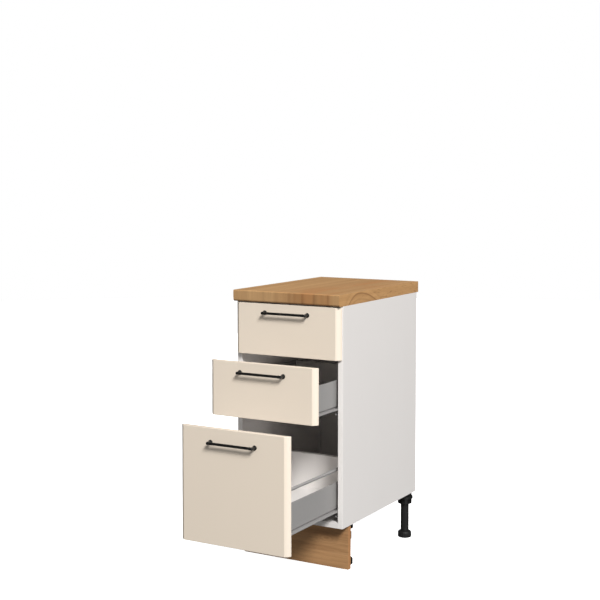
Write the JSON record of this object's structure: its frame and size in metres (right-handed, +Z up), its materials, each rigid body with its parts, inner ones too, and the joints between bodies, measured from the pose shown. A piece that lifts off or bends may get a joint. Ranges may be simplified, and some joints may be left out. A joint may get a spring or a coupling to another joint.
{
  "type": "base cabinet with drawers",
  "caption": "Narrow kitchen base cabinet with full-width drawers on roller runners, bar handles, an oak-look worktop, adjustable legs and a clip-on plinth board.",
  "frame": {"origin": "middle of the footprint, on the floor, with the drawers as pictured: one shut and two part open", "axes": "+Z up, -Y out of the drawer fronts, +X to the right as seen from the front"},
  "size_m": [0.403, 0.9366, 0.919],
  "materials": {
    "worktop_oak": "satin oak-pattern laminate",
    "plinth_oak": "satin oak-pattern laminate",
    "white_board": "white melamine-faced board, fine grain",
    "cream_front": "warm cream satin film on a milled board",
    "grey_steel": "grey powder coat, satin",
    "runner_steel": "pale grey powder coat, satin",
    "black_metal": "satin black",
    "black_plastic": "moulded black plastic",
    "roller_plastic": "white plastic"
  },
  "bodies": {
    "carcass": {"worktop": "worktop_oak", "side_panel_left": "white_board", "side_panel_right": "white_board", "bottom_panel": "white_board", "top_rail_front": "white_board", "top_rail_rear": "white_board", "back_panel": "white_board", "leg_socket_front_left": "black_plastic", "leg_socket_front_right": "black_plastic", "leg_socket_rear_left": "black_plastic", "leg_socket_rear_right": "black_plastic", "leg_column_front_left": "black_plastic", "leg_column_front_right": "black_plastic", "leg_column_rear_left": "black_plastic", "leg_column_rear_right": "black_plastic", "top_runner_left": "runner_steel", "top_runner_right": "runner_steel", "middle_runner_left": "runner_steel", "middle_runner_right": "runner_steel", "deep_runner_left": "runner_steel", "deep_runner_right": "runner_steel"},
    "top_drawer": {"top_drawer_front": "cream_front", "top_drawer_handle": "black_metal", "top_drawer_side_left": "grey_steel", "top_drawer_side_right": "grey_steel", "top_drawer_bottom": "white_board", "top_drawer_back": "white_board"},
    "middle_drawer": {"middle_drawer_front": "cream_front", "middle_drawer_handle": "black_metal", "middle_drawer_side_left": "grey_steel", "middle_drawer_side_right": "grey_steel", "middle_drawer_bottom": "white_board", "middle_drawer_back": "white_board"},
    "deep_drawer": {"deep_drawer_front": "cream_front", "deep_drawer_handle": "black_metal", "deep_drawer_side_left": "grey_steel", "deep_drawer_side_right": "grey_steel", "deep_drawer_bottom": "white_board", "deep_drawer_back": "white_board", "deep_gallery_rail_left": "grey_steel", "deep_gallery_rail_right": "grey_steel"},
    "top_runner_roller_left": {"top_runner_roller_left": "roller_plastic"},
    "top_drawer_roller_left": {"top_drawer_roller_left": "roller_plastic"},
    "top_runner_roller_right": {"top_runner_roller_right": "roller_plastic"},
    "top_drawer_roller_right": {"top_drawer_roller_right": "roller_plastic"},
    "middle_runner_roller_left": {"middle_runner_roller_left": "roller_plastic"},
    "middle_drawer_roller_left": {"middle_drawer_roller_left": "roller_plastic"},
    "middle_runner_roller_right": {"middle_runner_roller_right": "roller_plastic"},
    "middle_drawer_roller_right": {"middle_drawer_roller_right": "roller_plastic"},
    "deep_runner_roller_left": {"deep_runner_roller_left": "roller_plastic"},
    "deep_drawer_roller_left": {"deep_drawer_roller_left": "roller_plastic"},
    "deep_runner_roller_right": {"deep_runner_roller_right": "roller_plastic"},
    "deep_drawer_roller_right": {"deep_drawer_roller_right": "roller_plastic"},
    "foot_front_left": {"leg_foot_front_left": "black_plastic"},
    "foot_front_right": {"leg_foot_front_right": "black_plastic"},
    "foot_rear_left": {"leg_foot_rear_left": "black_plastic"},
    "foot_rear_right": {"leg_foot_rear_right": "black_plastic"},
    "plinth": {"plinth_board": "plinth_oak", "plinth_clip_left": "black_plastic", "plinth_clip_right": "black_plastic"}
  },
  "joints": [
    {"name": "top_drawer_slide", "type": "slide", "parent": "carcass", "child": "top_drawer", "axis": [0, -1, 0], "range_m": [0, 0.39]},
    {"name": "middle_drawer_slide", "type": "slide", "parent": "carcass", "child": "middle_drawer", "axis": [0, -1, 0], "range_m": [-0.152, 0.238]},
    {"name": "deep_drawer_slide", "type": "slide", "parent": "carcass", "child": "deep_drawer", "axis": [0, -1, 0], "range_m": [-0.32, 0.07]},
    {"name": "top_runner_roller_left_turn", "type": "hinge", "parent": "carcass", "child": "top_runner_roller_left", "pos_m": [-0.17492, -0.08975, 0.7212], "axis": [1, 0, 0], "continuous": true},
    {"name": "top_drawer_roller_left_turn", "type": "hinge", "parent": "top_drawer", "child": "top_drawer_roller_left", "pos_m": [-0.17492, 0.3478, 0.7212], "axis": [1, 0, 0], "continuous": true},
    {"name": "top_runner_roller_right_turn", "type": "hinge", "parent": "carcass", "child": "top_runner_roller_right", "pos_m": [0.17492, -0.08975, 0.7212], "axis": [1, 0, 0], "continuous": true},
    {"name": "top_drawer_roller_right_turn", "type": "hinge", "parent": "top_drawer", "child": "top_drawer_roller_right", "pos_m": [0.17492, 0.3478, 0.7212], "axis": [1, 0, 0], "continuous": true},
    {"name": "middle_runner_roller_left_turn", "type": "hinge", "parent": "carcass", "child": "middle_runner_roller_left", "pos_m": [-0.17492, -0.08975, 0.5392], "axis": [1, 0, 0], "continuous": true},
    {"name": "middle_drawer_roller_left_turn", "type": "hinge", "parent": "middle_drawer", "child": "middle_drawer_roller_left", "pos_m": [-0.17492, 0.1958, 0.5392], "axis": [1, 0, 0], "continuous": true},
    {"name": "middle_runner_roller_right_turn", "type": "hinge", "parent": "carcass", "child": "middle_runner_roller_right", "pos_m": [0.17492, -0.08975, 0.5392], "axis": [1, 0, 0], "continuous": true},
    {"name": "middle_drawer_roller_right_turn", "type": "hinge", "parent": "middle_drawer", "child": "middle_drawer_roller_right", "pos_m": [0.17492, 0.1958, 0.5392], "axis": [1, 0, 0], "continuous": true},
    {"name": "deep_runner_roller_left_turn", "type": "hinge", "parent": "carcass", "child": "deep_runner_roller_left", "pos_m": [-0.17492, -0.08975, 0.2067], "axis": [1, 0, 0], "continuous": true},
    {"name": "deep_drawer_roller_left_turn", "type": "hinge", "parent": "deep_drawer", "child": "deep_drawer_roller_left", "pos_m": [-0.17492, 0.0278, 0.2067], "axis": [1, 0, 0], "continuous": true},
    {"name": "deep_runner_roller_right_turn", "type": "hinge", "parent": "carcass", "child": "deep_runner_roller_right", "pos_m": [0.17492, -0.08975, 0.2067], "axis": [1, 0, 0], "continuous": true},
    {"name": "deep_drawer_roller_right_turn", "type": "hinge", "parent": "deep_drawer", "child": "deep_drawer_roller_right", "pos_m": [0.17492, 0.0278, 0.2067], "axis": [1, 0, 0], "continuous": true},
    {"name": "foot_front_left_screw_out", "type": "slide", "parent": "carcass", "child": "foot_front_left", "axis": [0, 0, -1], "range_m": [0, 0.02]},
    {"name": "foot_front_right_screw_out", "type": "slide", "parent": "carcass", "child": "foot_front_right", "axis": [0, 0, -1], "range_m": [0, 0.02]},
    {"name": "foot_rear_left_screw_out", "type": "slide", "parent": "carcass", "child": "foot_rear_left", "axis": [0, 0, -1], "range_m": [0, 0.02]},
    {"name": "foot_rear_right_screw_out", "type": "slide", "parent": "carcass", "child": "foot_rear_right", "axis": [0, 0, -1], "range_m": [0, 0.02]},
    {"name": "plinth_pull_off", "type": "slide", "parent": "carcass", "child": "plinth", "axis": [0, -1, 0], "range_m": [0, 0.06]}
  ],
  "couplings": [
    {"joint": "top_runner_roller_left_turn", "follows": "top_drawer_slide", "rad_per_m": 117.65},
    {"joint": "top_drawer_roller_left_turn", "follows": "top_drawer_slide", "rad_per_m": 117.65},
    {"joint": "top_runner_roller_right_turn", "follows": "top_drawer_slide", "rad_per_m": 117.65},
    {"joint": "top_drawer_roller_right_turn", "follows": "top_drawer_slide", "rad_per_m": 117.65},
    {"joint": "middle_runner_roller_left_turn", "follows": "middle_drawer_slide", "rad_per_m": 117.65},
    {"joint": "middle_drawer_roller_left_turn", "follows": "middle_drawer_slide", "rad_per_m": 117.65},
    {"joint": "middle_runner_roller_right_turn", "follows": "middle_drawer_slide", "rad_per_m": 117.65},
    {"joint": "middle_drawer_roller_right_turn", "follows": "middle_drawer_slide", "rad_per_m": 117.65},
    {"joint": "deep_runner_roller_left_turn", "follows": "deep_drawer_slide", "rad_per_m": 117.65},
    {"joint": "deep_drawer_roller_left_turn", "follows": "deep_drawer_slide", "rad_per_m": 117.65},
    {"joint": "deep_runner_roller_right_turn", "follows": "deep_drawer_slide", "rad_per_m": 117.65},
    {"joint": "deep_drawer_roller_right_turn", "follows": "deep_drawer_slide", "rad_per_m": 117.65}
  ]
}
